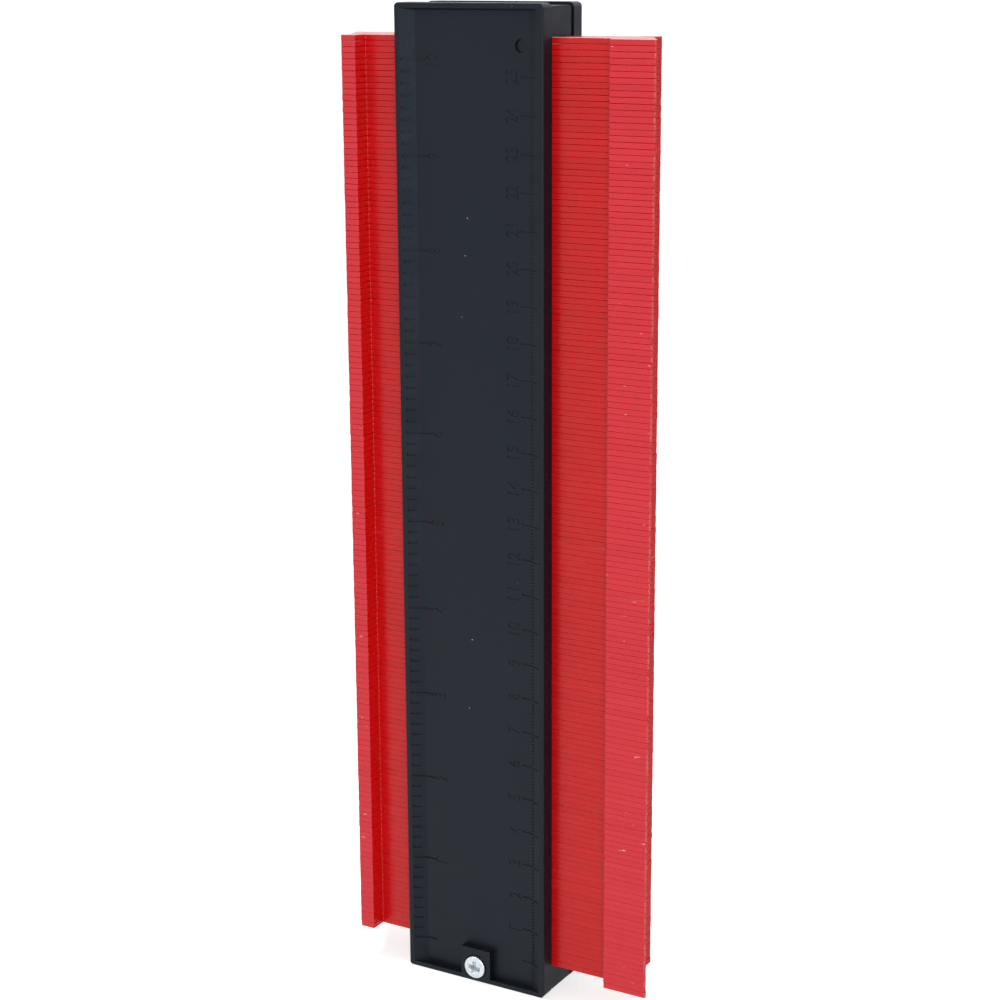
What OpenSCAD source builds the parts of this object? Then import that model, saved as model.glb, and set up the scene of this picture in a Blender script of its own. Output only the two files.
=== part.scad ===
// Contour gauge: a stack of thin red leaves held between two black body halves.
// The gauge stands on one end: +Z runs along the body, -Y is the front, +X is to the right.
// The origin is the middle of the footprint at the lower end.

/* [Body] */
// Width across the body
body_w = 45.4; // [36:0.1:60]
// Depth over both halves, from rim to rim
body_d = 21.2; // [19:0.1:26]
// Thickness of each half's cover at its rim
cover_t = 4.6; // [4:0.1:5.4]
// Width of the flat rim along the two long sides
rim_side_w = 1.5; // [0.8:0.1:2.5]
// Width of the flat rim at the two ends
rim_end_w = 1.5; // [0.8:0.1:2.5]
// Width of the sloping scale band beside the panel
bevel_w = 3.8; // [2.8:0.1:5]
// Depth of the sunk panel below the rim
panel_recess = 2.2; // [0.8:0.05:2.4]
// How far the panel's upper end wall leans in
end_lean = 0.5; // [0.1:0.05:0.8]
// Radius of the cover's four corners, seen from the front
corner_r = 1.6; // [0.6:0.1:3]
// Radius of the cover's outer edges
edge_r = 0.4; // [0.2:0.05:0.6]

/* [End blocks] */
// Height of the block that closes one end of each half
block_h = 7.7; // [6:0.1:12]
// How far a block stops short of the body's end
block_setback = 0.8; // [0.4:0.1:1.5]
// How far a block's sides stand in from the cover's sides
block_side_inset = 0.3; // [0.1:0.1:1.5]
// Radius of a block's free corners, seen from the side
block_r = 1; // [0.4:0.1:2]
// Open gap between the upper block and the rear cover, set by the rear screw
top_gap = 1; // [0.2:0.1:2]
// Gap between the lower block and the front cover, closed by the front screw
bottom_gap = 0.1; // [0.05:0.05:0.5]

/* [Scales] */
// Distance from the body's lower end to the zero of both scales
scale_zero = 9.2; // [8.8:0.1:12]
// Distance from the body's upper end that both scales keep free
scale_end = 13.7; // [12:0.1:16]
// Distance from the rim to the outer ends of the marks
mark_rim_gap = 0.35; // [0.2:0.05:0.6]
// Width of a centimetre mark
cm_mark_w = 0.45; // [0.2:0.05:0.5]
// Depth of a centimetre mark
cm_mark_depth = 0.2; // [0.1:0.05:0.7]
// Length of a centimetre mark
cm_mark_l = 6.1; // [4.5:0.1:7]
// Width of a millimetre notch
mm_notch_w = 0.5; // [0.3:0.05:0.6]
// How far a millimetre notch runs up the sloping band from its foot
mm_notch_l = 1.3; // [0.8:0.1:2]
// Height of a notch's level floor above the panel
mm_notch_floor = 0.1; // [0.05:0.05:0.2]
// Width of a mark on the inch scale
inch_mark_w = 0.75; // [0.3:0.05:0.9]
// Depth of a mark on the inch scale
inch_mark_depth = 0.3; // [0.1:0.05:0.7]
// Length of an inch mark
inch_mark_l = 6.7; // [4.5:0.1:9]
// Length of an eighth-inch mark
eighth_mark_l = 2.2; // [1:0.1:2.8]
// Radius of the round mark that a moulding pin leaves in the panel
pin_mark_r = 1.8; // [1:0.1:2.2]
// Depth of the moulding mark
pin_mark_depth = 0.7; // [0.2:0.05:0.8]
// Distance of the moulding mark from the upper end
pin_mark_end = 10.9; // [9:0.1:14]
// Distance of the moulding mark from the panel's edge
pin_mark_side = 2.5; // [2.4:0.1:4]

/* [Clamp screws] */
// Distance from the body's end to a screw's axis
screw_end = 4.65; // [4.4:0.05:5]
// Width of the square boss around a screw head
boss_w = 9.6; // [9:0.1:12]
// Height of the boss, measured from the body's end
boss_h = 10.2; // [9.6:0.1:14]
// Diameter of the pan head
head_d = 6.7; // [6:0.1:7.6]
// Height of the pan head
head_h = 2.2; // [1.6:0.1:2.4]
// Radius of the head's outer edge
head_edge_r = 0.4; // [0.2:0.1:1]
// How far the head stands proud of the rim
head_rise = 1; // [0:0.05:1.2]
// Gap all round the head in its counterbore
head_clearance = 0.3; // [0.1:0.05:0.4]
// Diameter of the screw's shank
shank_d = 4; // [3:0.1:4.5]
// Length of the screw under its head
screw_l = 12.5; // [9:0.1:13.5]
// Length of the shank's pointed end
screw_point_l = 2; // [1:0.1:3]
// Gap all round the shank where it passes through the cover
shank_clearance = 0.25; // [0.1:0.05:0.5]
// Gap all round the shank where it turns in the block
thread_clearance = 0.05; // [0.02:0.01:0.1]
// Width across the cross recess
cross_w = 4; // [3:0.1:5]
// Width of one arm of the cross recess
cross_arm_w = 1; // [0.6:0.1:1.4]
// Depth of the cross recess
cross_depth = 1.4; // [0.8:0.1:1.6]

/* [Leaves] */
// Number of leaves in the stack
leaf_count = 163; // [82:1:200]
// Distance from one leaf to the next
leaf_pitch = 1.6; // [1:0.05:2.5]
// Gap between one leaf and the next
leaf_gap = 0.06; // [0.04:0.01:0.15]
// Gap between the stack and each end block
stack_end_gap = 0.1; // [0.05:0.05:0.3]
// Half the length of the neck that runs through the body
neck_half_l = 38.45; // [32:0.05:60]
// Length of the long flange, which ends in the tracing tip
long_flange_l = 12.9; // [8:0.1:20]
// Length of the short flange
short_flange_l = 4.5; // [3:0.1:7.5]
// Thickness of the tracing tip
tip_t = 0.8; // [0.4:0.1:2]
// How far the heads stand proud of the front rim
head_proud = 0.25; // [0:0.05:0.6]
// Gap between the necks and the front cover
neck_front_gap = 0.15; // [0.12:0.01:0.4]
// Gap between the necks and the rear cover
neck_rear_gap = 0.95; // [0.3:0.05:1.2]
// How far the leaves stand to the right of the middle
rest_shift = 3.4; // [-6:0.1:6]

/* [Friction strips] */
// Width of each strip
strip_w = 20; // [8:0.5:30]
// Depth of the groove that a strip lies in
strip_groove = 1; // [0.5:0.1:1.5]
// Gap between a strip and its groove's sides
strip_side_gap = 0.1; // [0.05:0.05:0.3]
// Gap left between a strip and the necks
strip_gap = 0.05; // [0.03:0.01:0.1]

/* [Hidden] */
$fn = 48;
body_colour = [0.16, 0.17, 0.19];
leaf_colour = [0.82, 0.2, 0.23];
screw_colour = [0.8, 0.82, 0.84];
strip_colour = [0.35, 0.35, 0.35];

// Groups of neighbouring leaves, each of which slides as one
pack_count = 41;
// Units of the two scales, and their smallest divisions
cm = 10;
inch = 25.4;
cm_parts = 10;
inch_parts = 8;
// Overshoot of cuts past the surface they open
over = 1;

stack_l = leaf_count * leaf_pitch;
stack_base = block_setback + block_h + stack_end_gap;
body_l = stack_l + 2 * stack_base;

front_y = -body_d / 2;
front_inner_y = front_y + cover_t;
rear_inner_y = -front_inner_y;
bevel_top = body_w / 2 - rim_side_w;
panel_half_w = bevel_top - bevel_w;
panel_y = front_y + panel_recess;

head_top_y = front_y - head_rise;
head_seat_y = head_top_y + head_h;

neck_front_y = front_inner_y + neck_front_gap;
neck_rear_y = rear_inner_y - neck_rear_gap;
leaf_y = (neck_front_y + neck_rear_y) / 2;
neck_half_d = (neck_rear_y - neck_front_y) / 2;
flange_d = cover_t + neck_front_gap + head_proud;
head_half_d = neck_half_d + flange_d;
leaf_t = leaf_pitch - leaf_gap;

// Right half of a leaf's outline, from the front of the neck round the head to the neck's rear.
leaf_right = [
    [neck_half_l, -neck_half_d],
    [neck_half_l, -head_half_d],
    [neck_half_l + long_flange_l, -head_half_d],
    [neck_half_l + long_flange_l, -head_half_d + tip_t],
    [neck_half_l + short_flange_l, head_half_d - flange_d],
    [neck_half_l + short_flange_l, head_half_d],
    [neck_half_l, head_half_d],
    [neck_half_l, neck_half_d]
];
// The left half is the right half turned half a turn, so that either side can trace.
leaf_outline = concat(leaf_right, [for (p = leaf_right) -p]);

leaf_pack_names = [for (k = [1 : pack_count]) str("leaf_pack_", k < 10 ? "0" : "", k)];

module rounded_rect(w, h, r) {
    square([w - 2 * r, h], center = true);
    square([w, h - 2 * r], center = true);
    for (x = [-1, 1], y = [-1, 1])
        translate([x * (w / 2 - r), y * (h / 2 - r)]) circle(r);
}

// Extrudes a profile drawn in X and Z along +Y.
module along_y(length) {
    rotate([90, 0, 0]) mirror([0, 0, 1]) linear_extrude(length) children();
}

// Extrudes a profile drawn in Y and Z along X, to both sides.
module along_x(length) {
    rotate([90, 0, 90]) linear_extrude(length, center = true) children();
}

// Turns what belongs to the front half into the same thing on the rear half.
module to_rear() {
    translate([0, 0, body_l]) rotate([180, 0, 0]) children();
}

// The cover's outer block: round corners from the front, round outer edges all round.
module cover_block() {
    intersection() {
        translate([0, front_y, body_l / 2]) along_y(cover_t)
            rounded_rect(body_w, body_l, corner_r);
        translate([0, front_inner_y, 0]) linear_extrude(body_l)
            rounded_rect(body_w, 2 * cover_t, edge_r);
        translate([0, front_inner_y, body_l / 2]) along_x(body_w)
            rounded_rect(2 * cover_t, body_l, edge_r);
    }
}

// What lies in front of the panel and of its two sloping bands, a little deeper by the given amount.
module panel_profile(deeper = 0) {
    polygon([
        [-panel_half_w, panel_y + deeper],
        [panel_half_w, panel_y + deeper],
        [bevel_top, front_y + deeper],
        [bevel_top, front_y - over],
        [-bevel_top, front_y - over],
        [-bevel_top, front_y + deeper]
    ]);
}

// The panel seen from the side: its lower end wall is square, its upper one leans in.
module panel_side() {
    lean = end_lean * over / panel_recess;
    polygon([
        [front_y - over, rim_end_w],
        [panel_y + over, rim_end_w],
        [panel_y + over, body_l - rim_end_w - end_lean - lean],
        [front_y - over, body_l - rim_end_w + lean]
    ]);
}

// The sunk panel with its two sloping scale bands, less the boss that stays level with the rim.
module panel_cut() {
    difference() {
        intersection() {
            linear_extrude(body_l) panel_profile();
            along_x(body_w) panel_side();
        }
        translate([-boss_w / 2, front_y - 2 * over, 0])
            cube([boss_w, panel_recess + 3 * over, boss_h]);
    }
}

// One scale, seen from the front: marks along the right rim, the first of each unit a long one.
module scale_marks(unit, parts, mark_w, short_l, long_l) {
    step = unit / parts;
    for (n = [0 : floor((body_l - scale_zero - scale_end) / step)]) {
        mark_l = n % parts == 0 ? long_l : short_l;
        translate([bevel_top - mark_rim_gap - mark_l, scale_zero + n * step - mark_w / 2])
            square([mark_l, mark_w]);
    }
}

// Sinks the marks of a scale to one depth below the panel and the sloping bands.
module sunk_marks(depth) {
    intersection() {
        linear_extrude(body_l) panel_profile(depth);
        translate([0, front_y - over, 0]) along_y(panel_recess + 2 * over) children();
    }
}

// The millimetres between the centimetre marks: notches with a level floor at the foot of the right band.
module mm_notches() {
    step = cm / cm_parts;
    for (n = [0 : floor((body_l - scale_zero - scale_end) / step)])
        if (n % cm_parts != 0)
            translate([panel_half_w, front_y - over, scale_zero + n * step - mm_notch_w / 2])
                cube([mm_notch_l, over + panel_recess - mm_notch_floor, mm_notch_w]);
}

// The marks of both scales, centimetres on the right and inches on the left.
module scale_cut() {
    mm_notches();
    sunk_marks(cm_mark_depth) scale_marks(cm, 1, cm_mark_w, cm_mark_l, cm_mark_l);
    sunk_marks(inch_mark_depth)
        mirror([1, 0]) scale_marks(inch, inch_parts, inch_mark_w, eighth_mark_l, inch_mark_l);
}

// The round mark that a moulding pin leaves in the panel.
module pin_mark_cut() {
    translate([panel_half_w - pin_mark_side, front_y, body_l - pin_mark_end])
        along_y(panel_recess + pin_mark_depth) circle(pin_mark_r);
}

// The block that closes one end of the leaf channel, with its two free corners rounded.
module end_block(depth) {
    width = body_w - 2 * block_side_inset;
    overlap = cover_t / 2;
    translate([0, front_inner_y, body_l - block_setback - block_h / 2]) {
        translate([-width / 2, -overlap, -block_h / 2])
            cube([width, overlap + depth - block_r, block_h]);
        along_x(width) translate([depth / 2, 0]) rounded_rect(depth, block_h, block_r);
    }
}

// A round cut along Y at the lower screw's place.
module lower_bore(r, from_y, to_y) {
    translate([0, from_y, screw_end]) along_y(to_y - from_y) circle(r);
}

// A round cut along Y at the upper screw's place.
module upper_bore(r, from_y, to_y) {
    translate([0, from_y, body_l - screw_end]) along_y(to_y - from_y) circle(r);
}

// One half of the body. gap is the room between its block and the other half's cover.
module body_half(gap) {
    block_depth = rear_inner_y - front_inner_y - gap;
    block_end_y = front_inner_y + block_depth;
    pilot_end_y = -head_seat_y - screw_l - thread_clearance;
    difference() {
        union() {
            difference() {
                cover_block();
                panel_cut();
                scale_cut();
                pin_mark_cut();
            }
            end_block(block_depth);
        }
        lower_bore(head_d / 2 + head_clearance, front_y - over, head_seat_y);
        lower_bore(shank_d / 2 + shank_clearance, front_y - over, front_inner_y + over);
        upper_bore(shank_d / 2 + thread_clearance, pilot_end_y, block_end_y + over);
        translate([-strip_w / 2 - strip_side_gap, front_inner_y - strip_groove, stack_base - stack_end_gap])
            cube([strip_w + 2 * strip_side_gap, strip_groove + over, stack_l + 2 * stack_end_gap]);
    }
}

module front_body_half() {
    color(body_colour) body_half(top_gap);
}

module rear_body_half() {
    color(body_colour) to_rear() body_half(bottom_gap);
}

// A strip of soft felt that presses on the necks. reach is how far it stands out of its groove.
module friction_strip(reach) {
    translate([-strip_w / 2, front_inner_y - strip_groove, stack_base])
        cube([strip_w, strip_groove + reach, stack_l]);
}

module front_friction_strip() {
    color(strip_colour) friction_strip(neck_front_gap - strip_gap);
}

module rear_friction_strip() {
    color(strip_colour) to_rear() friction_strip(neck_rear_gap - strip_gap);
}

// Half the outline of a pan head, its top at zero and its outer edge rounded.
module head_profile() {
    head_r = head_d / 2;
    translate([0, -head_h]) square([head_r, head_h - head_edge_r]);
    translate([0, -head_h]) square([head_r - head_edge_r, head_h]);
    translate([head_r - head_edge_r, -head_edge_r]) circle(head_edge_r);
}

// A pan-head screw with a cross recess, its head outwards at the front.
module clamp_screw() {
    shank_l = screw_l - screw_point_l;
    translate([0, head_top_y, screw_end]) rotate([90, 0, 0]) difference() {
        union() {
            rotate_extrude() head_profile();
            translate([0, 0, -head_h - shank_l]) cylinder(d = shank_d, h = shank_l + head_h / 2);
            translate([0, 0, -head_h - screw_l]) cylinder(d1 = 0, d2 = shank_d, h = screw_point_l);
        }
        for (turn = [0, 90]) rotate(turn)
            translate([-cross_w / 2, -cross_arm_w / 2, -cross_depth])
                cube([cross_w, cross_arm_w, cross_depth + over]);
    }
}

module front_clamp_screw() {
    color(screw_colour) clamp_screw();
}

module rear_clamp_screw() {
    color(screw_colour) to_rear() clamp_screw();
}

module leaf(n) {
    translate([rest_shift, leaf_y, stack_base + n * leaf_pitch + leaf_gap / 2])
        linear_extrude(leaf_t) polygon(leaf_outline);
}

// Neighbouring leaves that slide together, each a plate of its own.
module leaf_pack(k) {
    first = floor(k * leaf_count / pack_count);
    last = floor((k + 1) * leaf_count / pack_count) - 1;
    color(leaf_colour) for (n = [first : last]) leaf(n);
}

front_body_half();
rear_body_half();
front_friction_strip();
rear_friction_strip();
front_clamp_screw();
rear_clamp_screw();
for (k = [0 : pack_count - 1])
    leaf_pack(k);
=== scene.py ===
"""Looks of a contour gauge.

Two black moulded body halves with engraved scales hold a stack of red leaves, which slide across the body.
"""

import math
import random

import bmesh
import bpy
from mathutils import Matrix, Vector


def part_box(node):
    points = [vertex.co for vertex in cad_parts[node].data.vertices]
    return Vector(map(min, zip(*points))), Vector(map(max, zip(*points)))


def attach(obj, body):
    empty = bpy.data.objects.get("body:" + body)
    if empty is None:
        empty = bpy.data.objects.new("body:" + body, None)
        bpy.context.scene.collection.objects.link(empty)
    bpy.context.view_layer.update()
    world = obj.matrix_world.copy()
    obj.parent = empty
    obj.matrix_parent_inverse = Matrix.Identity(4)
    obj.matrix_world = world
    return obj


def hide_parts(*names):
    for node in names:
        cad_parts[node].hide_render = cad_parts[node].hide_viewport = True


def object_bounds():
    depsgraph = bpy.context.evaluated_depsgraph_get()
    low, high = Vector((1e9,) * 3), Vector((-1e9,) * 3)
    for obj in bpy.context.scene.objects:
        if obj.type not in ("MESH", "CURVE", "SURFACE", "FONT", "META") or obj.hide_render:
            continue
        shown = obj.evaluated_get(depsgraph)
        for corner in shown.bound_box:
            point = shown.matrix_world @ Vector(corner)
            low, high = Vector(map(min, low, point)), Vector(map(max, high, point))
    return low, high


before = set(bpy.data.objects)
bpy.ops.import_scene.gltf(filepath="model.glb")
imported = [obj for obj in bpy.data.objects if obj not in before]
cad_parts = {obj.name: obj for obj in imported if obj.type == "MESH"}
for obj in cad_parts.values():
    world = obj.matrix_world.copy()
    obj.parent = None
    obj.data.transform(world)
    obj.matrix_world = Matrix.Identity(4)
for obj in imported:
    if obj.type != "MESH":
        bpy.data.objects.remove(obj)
cad_low, cad_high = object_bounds()

MM = 0.001
PACKS = sorted(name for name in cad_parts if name.startswith("leaf_pack_"))
STRIPS = ("front_friction_strip", "rear_friction_strip")

# Camera, as fitted to the scale marks and edges of the photograph
CAMERA_PLACE = Vector((293.15, -498.92, 289.71)) * MM
CAMERA_AZIMUTH = math.radians(30.184)
CAMERA_PITCH = math.radians(14.284)
CAMERA_ROLL = math.radians(-0.327)
CAMERA_LENS_MM = 76.97
CAMERA_SENSOR_MM = 36
CAMERA_NEAR = 10 * MM

# Meshes: points this close are one, and faces this flat are one
WELD = MM / 1000
FLAT_ANGLE = math.radians(0.5)

# Edges that turn more than this are shaded sharp
HALF_SHARP_ANGLE = math.radians(20)
SCREW_SHARP_ANGLE = math.radians(30)
LEAF_SHARP_ANGLE = math.radians(50)

# Cover of a half, in the front half's own place
RIM_SIDE_W = 1.5 * MM
BEVEL_W = 3.8 * MM
PANEL_RECESS = 2.2 * MM
BAND_TOLERANCE = 0.02
SIDE_FACING = 0.95

# Numerals of the two scales, sunk in the panel beside the marks
SCALE_ZERO_Z = 9.2 * MM
CENTIMETRE = 10 * MM
INCH = 25.4 * MM
CENTIMETRES = 25
INCHES = 10
CM_NUMERAL_X = 12.2 * MM
CM_NUMERAL_H = 3.9 * MM
CM_DIGIT_W = 1.8 * MM
INCH_NUMERAL_X = -12 * MM
INCH_NUMERAL_H = 3.9 * MM
INCH_DIGIT_W = 1.5 * MM
NUMERAL_DEPTH = 0.15 * MM
NUMERAL_BOLDNESS = 0.012
NUMERAL_CURVE_STEPS = 3

# Clamp screws, measured along the screw from the top of the head
SCREW_SEGMENTS = 48
SCREW_HEAD_H = 2.2 * MM
SCREW_CROWN = 0.15 * MM
SCREW_EDGE_R = 0.4 * MM
SCREW_HEAD_STEPS = 5
SCREW_SHANK_R = 2 * MM
SCREW_POINT_L = 2 * MM
THREAD_PITCH = 1.4 * MM
THREAD_DEPTH = 0.45 * MM
THREAD_STEEPNESS = 3
THREAD_ROWS = 8
RECESS_TOP = SCREW_CROWN - 0.5 * MM
RECESS_BOTTOM = 1.8 * MM
RECESS_ARM = (2.2 * MM, 0.8 * MM)
RECESS_ARM_W = (1.4 * MM, 0.75 * MM)
RECESS_TURN = math.radians(8)

# Shape of the leaves
LEAF_CORNER_R = 0.15 * MM
LEAF_FILLET_R = 0.3 * MM
LEAF_CORNER_STEPS = 3
TIP_R = 0.38 * MM
TIP_STEPS = 6
TIP_EDGE = 1 * MM
END_STEEPNESS = 3
FACE_TOLERANCE = 0.02 * MM
LEAF_BEVEL_LOW = (0.012 * MM, 0.03 * MM)
LEAF_BEVEL_HIGH = (0.055 * MM, 0.1 * MM)
TOP_LEAF_BEVEL = 0.12 * MM
LEAF_SWELL = (0.025 * MM, 0.02 * MM)
LEAF_SLIDE_SPREAD = 0.035 * MM
LEAF_SLIDE_MOST = 2 * LEAF_SLIDE_SPREAD
LEAF_FACE_SPREAD = 0.03 * MM
LOWEST_LEAF_SHIFT = 0.08 * MM

# Tone, wear, and the painted light, shade and highlights of the leaves, kept as numbers from 0 to 1 on the
# points and faces of their meshes
POINT_LAYERS = ("tone", "wear", "across")
FACE_LAYERS = ("head", "end", "step", "tip", "seam")
EDGE_ACROSS = 0.05
TONE_MIDDLE = 0.5
TONE_SPREAD = 0.18
WORN_SHARE = 0.04
WORN_RANGE = (0.5, 1)
# How much painted highlight the tips get, from leaf to leaf, and how much the top leaf's upper edge gets
TIP_PAINTED_HIGHLIGHT = (0, 0.2)
TOP_EDGE_PAINTED_HIGHLIGHT = 0.9

# Colours, and from one colour to another where they vary
BLACK = ((0.0040, 0.0052, 0.0085), (0.0055, 0.0065, 0.0095))
BLACK_SHEEN = (0.70, 0.83, 1)
DUST = (0.7, 0.7, 0.68)
NECK_RED = ((0.55, 0.002, 0.003), (0.63, 0.004, 0.006))
# Step faces get a lighter red: painted light, for light falling on them from the right
STEP_PAINTED_LIGHT_RED = (0.74, 0.003, 0.003)
# Heads are lighter and pinker than the necks: a painted sheen, for their stronger reflection
HEAD_RED = ((0.62, 0.016, 0.026), (0.69, 0.024, 0.036))
# Bevels between leaves get a darker red: painted shade between the leaves
SEAM_PAINTED_SHADE_RED = (0.52, 0.002, 0.003)
SCUFFED_RED = (0.9, 0.42, 0.42)
# Tips and the top leaf's upper edge turn pale pink: painted highlights
PAINTED_HIGHLIGHT_RED = (0.95, 0.5, 0.45)
ZINC = ((0.58, 0.63, 0.67), (0.74, 0.78, 0.81))
FELT = ((0.07, 0.07, 0.07), (0.17, 0.17, 0.17))
FLOOR_GREY = (0.55, 0.55, 0.55)
WHITE = (1, 1, 1)

# Gloss and roughness
BLACK_GLOSS = 0.275
BLACK_ROUGHNESS = (0.36, 0.46)
MATT_GLOSS = 0.26
MATT_ROUGHNESS = (0.5, 0.6)
RED_GLOSS = 0.39
RED_SEAM_GLOSS = 0.06
RED_ROUGHNESS = (0.22, 0.32)
ZINC_ROUGHNESS = (0.26, 0.42)
FELT_ROUGHNESS = 0.95
FELT_SHEEN = 0.3
FLOOR_ROUGHNESS = 0.9
FLOOR_GLOSS = 0.1

# Stage, with lamps in metres and watts
FLOOR_HALF_W = 30
FLOOR_GLOW = 0.65
WORLD_LIGHT = 0.76
WORLD_SEEN = 1.2
FRONT_SOFTBOX_PLACE = (0.70, -1.1, 0.42)
FRONT_SOFTBOX_SIZE = (0.45, 0.7)
FRONT_SOFTBOX_POWER = 5.8
TOP_SOFTBOX_PLACE = (-0.6, -0.05, 1.3)
TOP_SOFTBOX_SIZE = (0.35, 0.35)
TOP_SOFTBOX_POWER = 7

chance = random.Random(41)


# Meshes
def link(obj):
    bpy.context.scene.collection.objects.link(obj)
    return obj


def mesh_object(name, bm):
    mesh = bpy.data.meshes.new(name)
    bm.to_mesh(mesh)
    bm.free()
    return link(bpy.data.objects.new(name, mesh))


def closed_mesh(name, bm):
    """A mesh whose faces all look outwards."""
    bmesh.ops.recalc_face_normals(bm, faces=bm.faces)
    mesh = bpy.data.meshes.new(name)
    bm.to_mesh(mesh)
    bm.free()
    return mesh


def cad_mesh(node):
    """A CAD node's mesh, with each flat face in one piece."""
    bm = bmesh.new()
    bm.from_mesh(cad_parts[node].data)
    bmesh.ops.remove_doubles(bm, verts=bm.verts, dist=WELD)
    bmesh.ops.dissolve_limit(bm, angle_limit=FLAT_ANGLE, verts=bm.verts, edges=bm.edges)
    return bm


def baked(obj):
    """The object's mesh with its modifiers applied."""
    graph = bpy.context.evaluated_depsgraph_get()
    return bpy.data.meshes.new_from_object(obj.evaluated_get(graph))


def carve(obj, cutter, place):
    """Cuts a mesh, set in its place, out of a piece for good."""
    tool = link(bpy.data.objects.new("cutter", cutter))
    tool.matrix_world = place
    cut = obj.modifiers.new("carve", "BOOLEAN")
    cut.operation = "DIFFERENCE"
    cut.solver = "EXACT"
    cut.use_self = True
    cut.object = tool
    obj.data = baked(obj)
    obj.modifiers.clear()
    bpy.data.objects.remove(tool)


def soften(obj, sharp_angle):
    """Smooth shading across edges that turn less than the angle, with large faces kept flat."""
    obj.data.shade_smooth()
    obj.data.set_sharp_from_angle(angle=sharp_angle)
    weigh = obj.modifiers.new("weigh", "WEIGHTED_NORMAL")
    weigh.keep_sharp = True


def paint(obj, material):
    obj.data.materials.clear()
    obj.data.materials.append(material)


# Nodes of materials
def new_material(name):
    material = bpy.data.materials.new(name)
    material.use_nodes = True
    tree = material.node_tree
    return material, tree, tree.nodes["Principled BSDF"]


def add_node(tree, kind, **settings):
    node = tree.nodes.new(kind)
    for key, value in settings.items():
        setattr(node, key, value)
    return node


def stored(tree, layer):
    """A number that the mesh keeps on its points or faces."""
    return add_node(tree, "ShaderNodeAttribute", attribute_name=layer).outputs["Fac"]


def object_noise(tree, scale, detail, stretch=(1, 1, 1)):
    """Noise in the object's own space. stretch is how much finer it is along each axis."""
    place = add_node(tree, "ShaderNodeTexCoord")
    spread = add_node(tree, "ShaderNodeMapping")
    spread.inputs["Scale"].default_value = stretch
    noise = add_node(tree, "ShaderNodeTexNoise")
    noise.inputs["Scale"].default_value = scale
    noise.inputs["Detail"].default_value = detail
    tree.links.new(place.outputs["Object"], spread.inputs["Vector"])
    tree.links.new(spread.outputs["Vector"], noise.inputs["Vector"])
    return noise.outputs["Fac"]


def remap(tree, value, span, target=(0, 1)):
    """The value, carried from one span of numbers to another and held within it."""
    node = add_node(tree, "ShaderNodeMapRange")
    tree.links.new(value, node.inputs["Value"])
    for name, number in zip(("From Min", "From Max", "To Min", "To Max"), (*span, *target)):
        node.inputs[name].default_value = number
    return node.outputs["Result"]


def combine(tree, operation, first, second):
    node = add_node(tree, "ShaderNodeMath", operation=operation)
    tree.links.new(first, node.inputs[0])
    tree.links.new(second, node.inputs[1])
    return node.outputs["Value"]


def multiply(tree, first, second):
    return combine(tree, "MULTIPLY", first, second)


def larger(tree, first, second):
    return combine(tree, "MAXIMUM", first, second)


def mix_colours(tree, factor, first, second):
    """A mix of two colours, each a tuple or the output of a node."""
    node = add_node(tree, "ShaderNodeMix", data_type="RGBA")
    tree.links.new(factor, node.inputs["Factor"])
    for socket, colour in (("A", first), ("B", second)):
        target = next(s for s in node.inputs if s.name == socket and s.type == "RGBA")
        if isinstance(colour, tuple):
            target.default_value = (*colour, 1)
        else:
            tree.links.new(colour, target)
    return next(s for s in node.outputs if s.type == "RGBA")


def add_bump(tree, shader, height, strength, distance):
    bump = add_node(tree, "ShaderNodeBump")
    bump.inputs["Strength"].default_value = strength
    bump.inputs["Distance"].default_value = distance
    tree.links.new(height, bump.inputs["Height"])
    tree.links.new(bump.outputs["Normal"], shader.inputs["Normal"])


# Materials
def dust_specks(tree):
    """A few tiny spots, scattered across the front and the rear."""
    place = add_node(tree, "ShaderNodeTexCoord")
    upright = add_node(tree, "ShaderNodeMapping")
    upright.inputs["Rotation"].default_value = (math.pi / 2, 0, 0)
    cells = add_node(tree, "ShaderNodeTexVoronoi", voronoi_dimensions="2D")
    cells.inputs["Scale"].default_value = 55
    parts = add_node(tree, "ShaderNodeSeparateColor")
    tree.links.new(place.outputs["Object"], upright.inputs["Vector"])
    tree.links.new(upright.outputs["Vector"], cells.inputs["Vector"])
    tree.links.new(cells.outputs["Color"], parts.inputs["Color"])
    spots = remap(tree, cells.outputs["Distance"], (0.004, 0.01), (1, 0))
    some = multiply(tree, spots, remap(tree, parts.outputs["Red"], (0.7, 0.95)))
    facing = add_node(tree, "ShaderNodeSeparateXYZ")
    tree.links.new(place.outputs["Normal"], facing.inputs["Vector"])
    squared = multiply(tree, facing.outputs["Y"], facing.outputs["Y"])
    return multiply(tree, some, remap(tree, squared, (0.8, 0.9)))


def black_plastic(name, gloss, roughness):
    material, tree, shader = new_material(name)
    blotches = remap(tree, object_noise(tree, scale=60, detail=3), (0.35, 0.7))
    clean = mix_colours(tree, blotches, *BLACK)
    colour = mix_colours(tree, dust_specks(tree), clean, DUST)
    tree.links.new(colour, shader.inputs["Base Color"])
    rough = remap(tree, object_noise(tree, scale=140, detail=4), (0.3, 0.7), roughness)
    tree.links.new(rough, shader.inputs["Roughness"])
    shader.inputs["Specular IOR Level"].default_value = gloss
    shader.inputs["Specular Tint"].default_value = (*BLACK_SHEEN, 1)
    add_bump(tree, shader, object_noise(tree, scale=3200, detail=2), strength=0.15, distance=0.03 * MM)
    return material


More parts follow.
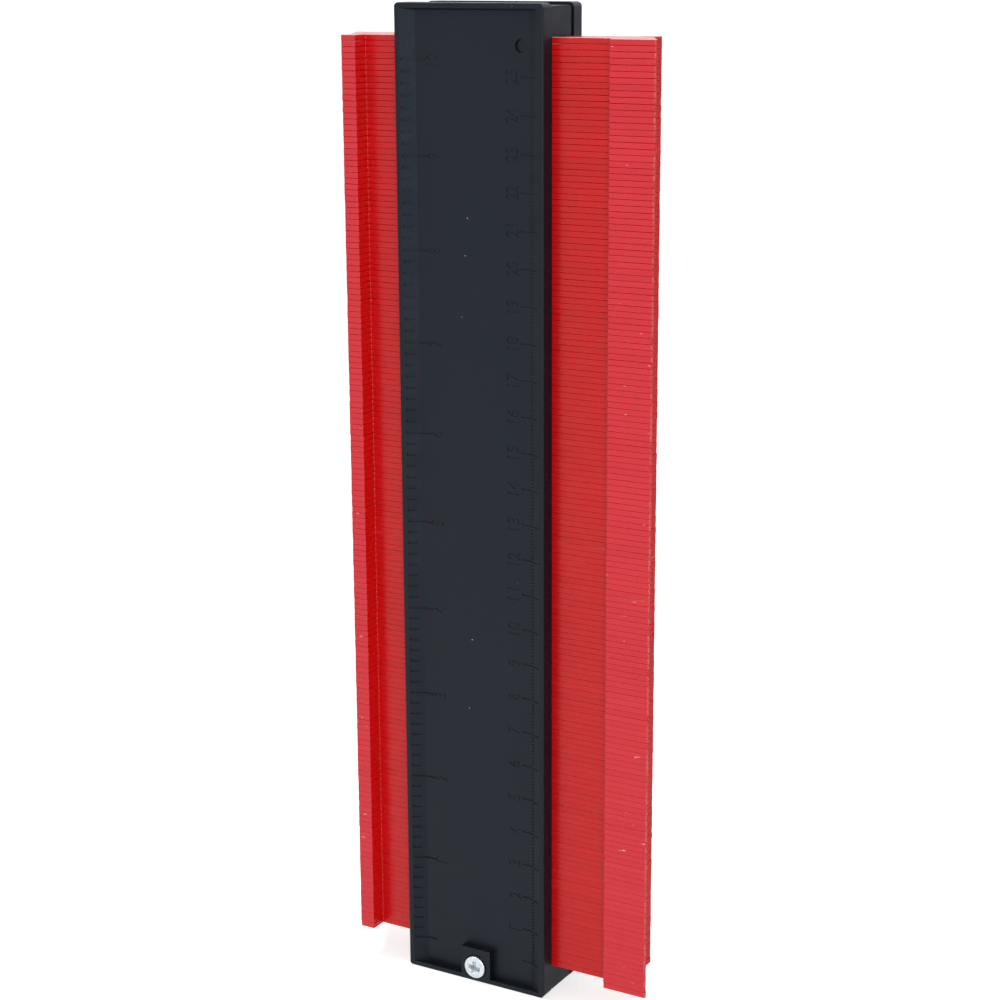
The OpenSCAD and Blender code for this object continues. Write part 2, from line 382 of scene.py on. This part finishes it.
def red_plastic():
    material, tree, shader = new_material("moulded_red")
    layer = {name: stored(tree, name) for name in POINT_LAYERS + FACE_LAYERS}

    neck = mix_colours(tree, layer["tone"], *NECK_RED)
    # Step faces turn a lighter red: painted light
    neck_and_painted_step_light = mix_colours(tree, layer["step"], neck, STEP_PAINTED_LIGHT_RED)
    # Heads turn lighter and pinker: painted sheen
    heads_with_painted_sheen = mix_colours(tree, layer["tone"], *HEAD_RED)
    whole = mix_colours(tree, layer["head"], neck_and_painted_step_light, heads_with_painted_sheen)
    nicks = remap(tree, object_noise(tree, scale=500, detail=2, stretch=(0.6, 1, 2.4)), (0.75, 0.78))
    nicked = mix_colours(tree, multiply(tree, nicks, layer["head"]), whole, SCUFFED_RED)
    # Bevels turn darker: painted shade between the leaves
    with_painted_seam_shade = mix_colours(tree, layer["seam"], nicked, SEAM_PAINTED_SHADE_RED)
    # Tips and the top leaf's upper edge turn pale pink: painted highlights
    with_painted_highlights = mix_colours(tree, layer["tip"], with_painted_seam_shade, PAINTED_HIGHLIGHT_RED)
    drag = remap(tree, object_noise(tree, scale=60, detail=3, stretch=(1, 1, 12)), (0.54, 0.66))
    edge = remap(tree, layer["across"], (0.84, 0.97))
    scuffs = multiply(tree, multiply(tree, edge, drag), layer["wear"])
    colour = mix_colours(tree, scuffs, with_painted_highlights, SCUFFED_RED)
    tree.links.new(colour, shader.inputs["Base Color"])

    rough = remap(tree, object_noise(tree, scale=220, detail=4, stretch=(1, 1, 4)), (0.3, 0.7), RED_ROUGHNESS)
    tree.links.new(rough, shader.inputs["Roughness"])
    matt = larger(tree, layer["seam"], layer["end"])
    gloss = remap(tree, matt, (0, 1), (RED_GLOSS, RED_SEAM_GLOSS))
    tree.links.new(gloss, shader.inputs["Specular IOR Level"])
    grain = object_noise(tree, scale=1500, detail=2, stretch=(0.3, 1, 1))
    add_bump(tree, shader, grain, strength=0.05, distance=0.03 * MM)
    return material


def zinc_plate():
    material, tree, shader = new_material("zinc_plate")
    patches = remap(tree, object_noise(tree, scale=700, detail=3), (0.35, 0.65))
    tree.links.new(mix_colours(tree, patches, *ZINC), shader.inputs["Base Color"])
    rough = remap(tree, object_noise(tree, scale=1800, detail=3), (0.3, 0.7), ZINC_ROUGHNESS)
    tree.links.new(rough, shader.inputs["Roughness"])
    shader.inputs["Metallic"].default_value = 1
    add_bump(tree, shader, object_noise(tree, scale=2500, detail=2), strength=0.15, distance=0.02 * MM)
    return material


def grey_felt():
    material, tree, shader = new_material("grey_felt")
    fibres = object_noise(tree, scale=2600, detail=5)
    tree.links.new(mix_colours(tree, fibres, *FELT), shader.inputs["Base Color"])
    shader.inputs["Roughness"].default_value = FELT_ROUGHNESS
    shader.inputs["Sheen Weight"].default_value = FELT_SHEEN
    add_bump(tree, shader, fibres, strength=0.6, distance=0.1 * MM)
    return material


# Body halves with their engraved scales
def panel_depth():
    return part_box("front_body_half")[0].y + PANEL_RECESS


def engrave_numeral(bm, text, x, z, height, digit_w):
    """A numeral's cutter, which reads upwards along the body."""
    curve = bpy.data.curves.new("numeral", "FONT")
    curve.body = text
    curve.resolution_u = NUMERAL_CURVE_STEPS
    curve.offset = NUMERAL_BOLDNESS
    curve.extrude = 1
    obj = link(bpy.data.objects.new("numeral", curve))
    mesh = baked(obj)
    bpy.data.objects.remove(obj)
    points = [v.co for v in mesh.vertices]
    low = Vector([min(p[i] for p in points) for i in range(3)])
    high = Vector([max(p[i] for p in points) for i in range(3)])
    size = high - low
    width = digit_w * len(text)
    depth = panel_depth() + NUMERAL_DEPTH
    above = panel_depth() - PANEL_RECESS
    place = Matrix((
        (0, -height / size.y, 0, x + height * (low.y + high.y) / 2 / size.y),
        (0, 0, (above - depth) / size.z, (above + depth) / 2),
        (width / size.x, 0, 0, z - width * (low.x + high.x) / 2 / size.x),
        (0, 0, 0, 1),
    ))
    mesh.transform(place)
    bm.from_mesh(mesh)


def numeral_cutter():
    """The cutter of all numerals of both scales, in the front half's place."""
    bm = bmesh.new()
    for whole in range(1, CENTIMETRES + 1):
        z = SCALE_ZERO_Z + whole * CENTIMETRE
        engrave_numeral(bm, str(whole), CM_NUMERAL_X, z, CM_NUMERAL_H, CM_DIGIT_W)
    for whole in range(1, INCHES + 1):
        z = SCALE_ZERO_Z + whole * INCH
        engrave_numeral(bm, str(whole), INCH_NUMERAL_X, z, INCH_NUMERAL_H, INCH_DIGIT_W)
    bmesh.ops.remove_doubles(bm, verts=bm.verts, dist=WELD)
    return closed_mesh("numeral_cutter", bm)


def half_turn():
    """Turns what belongs to the front half into the same thing on the rear half."""
    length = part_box("front_body_half")[1].z
    return Matrix.Translation((0, 0, length)) @ Matrix.Rotation(math.pi, 4, "X")


def paint_matt_faces(half, material):
    """Gives the sloping scale bands beside the panel, and the sides, a matter finish than the rest."""
    half.data.materials.append(material)
    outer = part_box("front_body_half")[1].x - RIM_SIDE_W
    slope = PANEL_RECESS / math.hypot(PANEL_RECESS, BEVEL_W)
    for face in half.data.polygons:
        beside_panel = outer - BEVEL_W < abs(face.center.x) < outer
        on_band = beside_panel and abs(abs(face.normal.x) - slope) < BAND_TOLERANCE
        on_side = abs(face.normal.x) > SIDE_FACING and abs(face.center.x) > outer
        if on_band or on_side:
            face.material_index = 1


def make_half(node, cutter, turn, material, matt_material):
    half = mesh_object(f"{node}_engraved", cad_mesh(node))
    # Normals that come with the mesh would keep some of its edges from being shaded sharp
    half.data.attributes.remove(half.data.attributes["custom_normal"])
    carve(half, cutter, turn)
    soften(half, HALF_SHARP_ANGLE)
    paint(half, material)
    paint_matt_faces(half, matt_material)
    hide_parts(node)
    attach(half, "body")


# Clamp screws
def head_rings(head_r):
    """Radius and depth of the rings of a crowned pan head, from the middle of its top to its underside."""
    rings = []
    edge_middle = head_r - SCREW_EDGE_R
    for step in range(1, SCREW_HEAD_STEPS + 1):
        radius = edge_middle * step / SCREW_HEAD_STEPS
        rings.append((radius, SCREW_CROWN * (radius / edge_middle) ** 2))
    for step in range(1, SCREW_HEAD_STEPS + 1):
        angle = math.pi / 2 * step / SCREW_HEAD_STEPS
        depth = SCREW_CROWN + SCREW_EDGE_R * (1 - math.cos(angle))
        rings.append((edge_middle + SCREW_EDGE_R * math.sin(angle), depth))
    rings.append((head_r, SCREW_HEAD_H))
    rings.append((SCREW_SHANK_R, SCREW_HEAD_H))
    return rings


def thread_radius(depth, length, turn):
    """Radius of the threaded shank at a depth below the head's top and a share of a turn."""
    share = (depth / THREAD_PITCH - turn) % 1
    ridge = max(0, 1 - abs(share - 0.5) * THREAD_STEEPNESS)
    tip = min(1, (length - depth) / SCREW_POINT_L)
    return max(SCREW_SHANK_R - THREAD_DEPTH * (1 - ridge), 0) * tip


def screw_mesh(head_r, length):
    """A screw along +Z from the top of its head at zero."""
    bm = bmesh.new()
    turns = [step / SCREW_SEGMENTS for step in range(SCREW_SEGMENTS)]
    rings = []
    for radius, depth in head_rings(head_r):
        rings.append([(radius, depth, turn) for turn in turns])
    depth_step = THREAD_PITCH / THREAD_ROWS
    rows = int((length - SCREW_HEAD_H) / depth_step)
    for row in range(1, rows):
        depth = SCREW_HEAD_H + row * depth_step
        rings.append([(thread_radius(depth, length, turn), depth, turn) for turn in turns])
    loops = []
    for ring in rings:
        loop = []
        for radius, depth, turn in ring:
            angle = 2 * math.pi * turn
            loop.append(bm.verts.new((radius * math.cos(angle), radius * math.sin(angle), depth)))
        loops.append(loop)
    for first, second in zip(loops, loops[1:]):
        for i in range(SCREW_SEGMENTS):
            j = (i + 1) % SCREW_SEGMENTS
            bm.faces.new((first[i], first[j], second[j], second[i]))
    for loop, depth in ((loops[0], 0), (loops[-1], length)):
        middle = bm.verts.new((0, 0, depth))
        for i in range(SCREW_SEGMENTS):
            bm.faces.new((loop[i], middle, loop[(i + 1) % SCREW_SEGMENTS]))
    return closed_mesh("screw", bm)


def recess_mesh():
    """The cross recess of a screw as a cutter: four arms that narrow and draw in towards the bottom."""
    bm = bmesh.new()
    rings = []
    for level, arm, width in zip((RECESS_TOP, RECESS_BOTTOM), RECESS_ARM, RECESS_ARM_W):
        ring = []
        for quarter in range(4):
            turn = Matrix.Rotation(math.pi / 2 * quarter, 2)
            for x, y in ((width / 2, width / 2), (arm, width / 2), (arm, -width / 2)):
                spot = turn.inverted() @ Vector((x, y))
                ring.append(bm.verts.new((spot.x, spot.y, level)))
        rings.append(ring)
    bm.faces.new(rings[0])
    bm.faces.new(reversed(rings[1]))
    count = len(rings[0])
    for i in range(count):
        j = (i + 1) % count
        bm.faces.new((rings[0][i], rings[0][j], rings[1][j], rings[1][i]))
    return closed_mesh("recess", bm)


def make_screw(node, body, turn, material):
    low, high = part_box("front_clamp_screw")
    screw = link(bpy.data.objects.new(f"{node}_threaded", screw_mesh(high.x, high.y - low.y)))
    carve(screw, recess_mesh(), Matrix.Rotation(RECESS_TURN, 4, "Z"))
    place = Matrix.Translation((0, low.y, (low.z + high.z) / 2)) @ Matrix.Rotation(-math.pi / 2, 4, "X")
    screw.data.transform(turn @ place)
    soften(screw, SCREW_SHARP_ANGLE)
    paint(screw, material)
    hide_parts(node)
    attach(screw, body)


# Leaves
def corners(points):
    """Each point of a closed outline, between the point before it and the point after it."""
    return zip(points[-1:] + points[:-1], points, points[1:] + points[:1])


def rounded_outline(points):
    """The outline with each corner as an arc: small outside and inside corners, and a full round at a tip."""
    result = []
    for before, corner, after in corners(points):
        back = (before - corner).normalized()
        ahead = (after - corner).normalized()
        turns_left = back.x * ahead.y - back.y * ahead.x < 0
        radius = LEAF_CORNER_R if turns_left else LEAF_FILLET_R
        steps = LEAF_CORNER_STEPS
        if min((before - corner).length, (after - corner).length) < TIP_EDGE:
            radius = TIP_R
            steps = TIP_STEPS
        half = back.angle(ahead) / 2
        centre = corner + (back + ahead).normalized() * radius / math.sin(half)
        start = corner + back * radius / math.tan(half) - centre
        sweep = (math.pi - 2 * half) * (1 if turns_left else -1)
        for step in range(steps + 1):
            turn = Matrix.Rotation(sweep * step / steps, 2)
            result.append(centre + turn @ start)
    return result


def inset_outline(points, distance):
    """The outline drawn in by a distance all round."""
    result = []
    for before, corner, after in corners(points):
        first = (corner - before).normalized()
        second = (after - corner).normalized()
        inward = Vector((-first.y - second.y, first.x + second.x))
        inward.normalize()
        spread = inward.dot(Vector((-first.y, first.x)))
        result.append(corner + inward * distance / spread)
    return result


def cad_leaves(node):
    """Outline, bottom and top of each leaf in a pack, lowest first, read from the pack's own mesh."""
    bm = cad_mesh(node)
    flats = sorted((f for f in bm.faces if abs(f.normal.z) > 0.9), key=lambda f: f.verts[0].co.z)
    leaves = []
    for bottom, top in zip(flats[::2], flats[1::2]):
        outline = [v.co.xy for v in top.verts]
        leaves.append((outline, bottom.verts[0].co.z, top.verts[0].co.z))
    bm.free()
    return leaves


def leaf_bevel(share):
    """Width of a leaf's bevelled edge, by its share of the body's height: low leaves are pressed together."""
    low, high = (chance.uniform(*spread) for spread in (LEAF_BEVEL_LOW, LEAF_BEVEL_HIGH))
    return low + (high - low) * share


def side_parts(outline):
    """For each side of a leaf's outline, which part of the leaf it is."""
    low = Vector((min(p.x for p in outline), min(p.y for p in outline)))
    high = Vector((max(p.x for p in outline), max(p.y for p in outline)))
    middle = (low + high) / 2
    parts = []
    for first, second in zip(outline, outline[1:] + outline[:1]):
        along = second - first
        spot = (first + second) / 2
        to_face = min(spot.y - low.y, high.y - spot.y)
        to_tip = min((spot - Vector((high.x, low.y))).length, (spot - Vector((low.x, high.y))).length)
        if to_face < FACE_TOLERANCE:
            parts.append("head")
        elif to_tip < TIP_R:
            parts.append("tip")
        elif abs(along.y) > END_STEEPNESS * abs(along.x):
            parts.append("end" if along.y * (spot.x - middle.x) > 0 else "step")
        else:
            parts.append("neck")
    return parts


def add_leaf(bm, layers, leaf, shift, topmost):
    """One leaf as four rings of points: both faces drawn in by their bevels, and the edges between them."""
    outline, bottom, top = leaf
    share = top / cad_high.z
    swell = LEAF_SWELL[0] + (LEAF_SWELL[1] - LEAF_SWELL[0]) * share
    bottom -= swell
    top += swell
    outline = [p + shift for p in rounded_outline(outline)]
    low_bevel, high_bevel = (leaf_bevel(share) for _ in range(2))
    if topmost:
        high_bevel = TOP_LEAF_BEVEL
    tone = min(max(chance.gauss(TONE_MIDDLE, TONE_SPREAD), 0), 1)
    wear = chance.uniform(*WORN_RANGE) if chance.random() < WORN_SHARE else 0
    tip_highlight = chance.uniform(*TIP_PAINTED_HIGHLIGHT)
    rings = []
    for z, inset, across in (
        (bottom, low_bevel, 0),
        (bottom + low_bevel, 0, EDGE_ACROSS),
        (top - high_bevel, 0, 1 - EDGE_ACROSS),
        (top, high_bevel, 1),
    ):
        points = inset_outline(outline, inset) if inset else outline
        ring = [bm.verts.new((p.x, p.y, z)) for p in points]
        for vert in ring:
            vert[layers["tone"]] = tone
            vert[layers["wear"]] = wear
            vert[layers["across"]] = across
        rings.append(ring)
    bm.faces.new(reversed(rings[0]))
    bm.faces.new(rings[-1])
    parts = side_parts(outline)
    count = len(outline)
    for level, (lower, upper) in enumerate(zip(rings, rings[1:])):
        # The top leaf's upper bevel gets a painted highlight instead of painted shade
        on_top_edge = topmost and level == 2
        on_seam = level != 1 and not on_top_edge
        for i in range(count):
            j = (i + 1) % count
            side = bm.faces.new((lower[i], lower[j], upper[j], upper[i]))
            for part in ("head", "end", "step"):
                side[layers[part]] = parts[i] == part
            # Tips get a painted highlight that varies from leaf to leaf
            side[layers["tip"]] = tip_highlight if parts[i] == "tip" else 0
            if on_top_edge:
                side[layers["tip"]] = TOP_EDGE_PAINTED_HIGHLIGHT
            # Bevels, except the top leaf's upper one, get painted shade between the leaves
            side[layers["seam"]] = on_seam


def make_pack(node, material):
    bm = bmesh.new()
    layers = {name: bm.verts.layers.float.new(name) for name in POINT_LAYERS}
    for name in FACE_LAYERS:
        layers[name] = bm.faces.layers.float.new(name)
    leaves = cad_leaves(node)
    for index, leaf in enumerate(leaves):
        slide = chance.gauss(0, LEAF_SLIDE_SPREAD)
        slide = min(max(slide, -LEAF_SLIDE_MOST), LEAF_SLIDE_MOST)
        if node == PACKS[0] and index == 0:
            slide = LOWEST_LEAF_SHIFT
        face = chance.uniform(-LEAF_FACE_SPREAD, LEAF_FACE_SPREAD)
        topmost = node == PACKS[-1] and index == len(leaves) - 1
        add_leaf(bm, layers, leaf, Vector((slide, face)), topmost)
    pack = mesh_object(node.replace("leaf_pack", "leaves"), bm)
    soften(pack, LEAF_SHARP_ANGLE)
    paint(pack, material)
    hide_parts(node)
    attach(pack, node)


# Stage
def seen_share(tree, unseen, seen):
    """One number for light that falls on things, and another for what the eye or a reflection sees."""
    path = add_node(tree, "ShaderNodeLightPath")
    total = path.outputs["Is Camera Ray"]
    for name in ("Is Glossy Ray", "Is Transmission Ray"):
        total = larger(tree, total, path.outputs[name])
    return remap(tree, total, (0, 1), (unseen, seen))


def make_floor():
    bm = bmesh.new()
    bmesh.ops.create_grid(bm, x_segments=1, y_segments=1, size=FLOOR_HALF_W)
    floor = mesh_object("floor", bm)
    material, tree, shader = new_material("pale_floor")
    shader.inputs["Base Color"].default_value = (*FLOOR_GREY, 1)
    shader.inputs["Roughness"].default_value = FLOOR_ROUGHNESS
    shader.inputs["Specular IOR Level"].default_value = FLOOR_GLOSS
    shader.inputs["Emission Color"].default_value = (*WHITE, 1)
    tree.links.new(seen_share(tree, 0, FLOOR_GLOW), shader.inputs["Emission Strength"])
    paint(floor, material)


def make_world():
    world = bpy.data.worlds.new("studio")
    bpy.context.scene.world = world
    world.use_nodes = True
    tree = world.node_tree
    background = tree.nodes["Background"]
    background.inputs["Color"].default_value = (*WHITE, 1)
    tree.links.new(seen_share(tree, WORLD_LIGHT, WORLD_SEEN), background.inputs["Strength"])


def make_softbox(name, place, size, power):
    """A rectangular lamp that faces the middle of the object."""
    light = bpy.data.lights.new(name, "AREA")
    light.shape = "RECTANGLE"
    light.size, light.size_y = size
    light.energy = power
    obj = link(bpy.data.objects.new(name, light))
    obj.location = place
    middle = (cad_low + cad_high) / 2
    obj.rotation_euler = (middle - Vector(place)).to_track_quat("-Z", "Y").to_euler()


def make_camera():
    camera = link(bpy.data.objects.new("camera", bpy.data.cameras.new("camera")))
    camera.data.lens = CAMERA_LENS_MM
    camera.data.sensor_width = CAMERA_SENSOR_MM
    camera.data.clip_start = CAMERA_NEAR
    turn = Matrix.Rotation(CAMERA_AZIMUTH, 4, "Z") @ Matrix.Rotation(math.pi / 2 - CAMERA_PITCH, 4, "X")
    camera.matrix_world = Matrix.Translation(CAMERA_PLACE) @ turn @ Matrix.Rotation(CAMERA_ROLL, 4, "Z")
    bpy.context.scene.camera = camera


def main():
    bpy.context.scene.view_settings.view_transform = "Standard"
    black = black_plastic("moulded_black", BLACK_GLOSS, BLACK_ROUGHNESS)
    matt_black = black_plastic("moulded_black_matt", MATT_GLOSS, MATT_ROUGHNESS)
    red = red_plastic()
    zinc = zinc_plate()
    felt = grey_felt()
    make_camera()
    make_floor()
    make_world()
    make_softbox("front_softbox", FRONT_SOFTBOX_PLACE, FRONT_SOFTBOX_SIZE, FRONT_SOFTBOX_POWER)
    make_softbox("top_softbox", TOP_SOFTBOX_PLACE, TOP_SOFTBOX_SIZE, TOP_SOFTBOX_POWER)
    numerals = numeral_cutter()
    make_half("front_body_half", numerals, Matrix.Identity(4), black, matt_black)
    make_half("rear_body_half", numerals, half_turn(), black, matt_black)
    make_screw("front_clamp_screw", "front_screw", Matrix.Identity(4), zinc)
    make_screw("rear_clamp_screw", "rear_screw", half_turn(), zinc)
    for node in PACKS:
        make_pack(node, red)
    for node in STRIPS:
        paint(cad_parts[node], felt)


main()
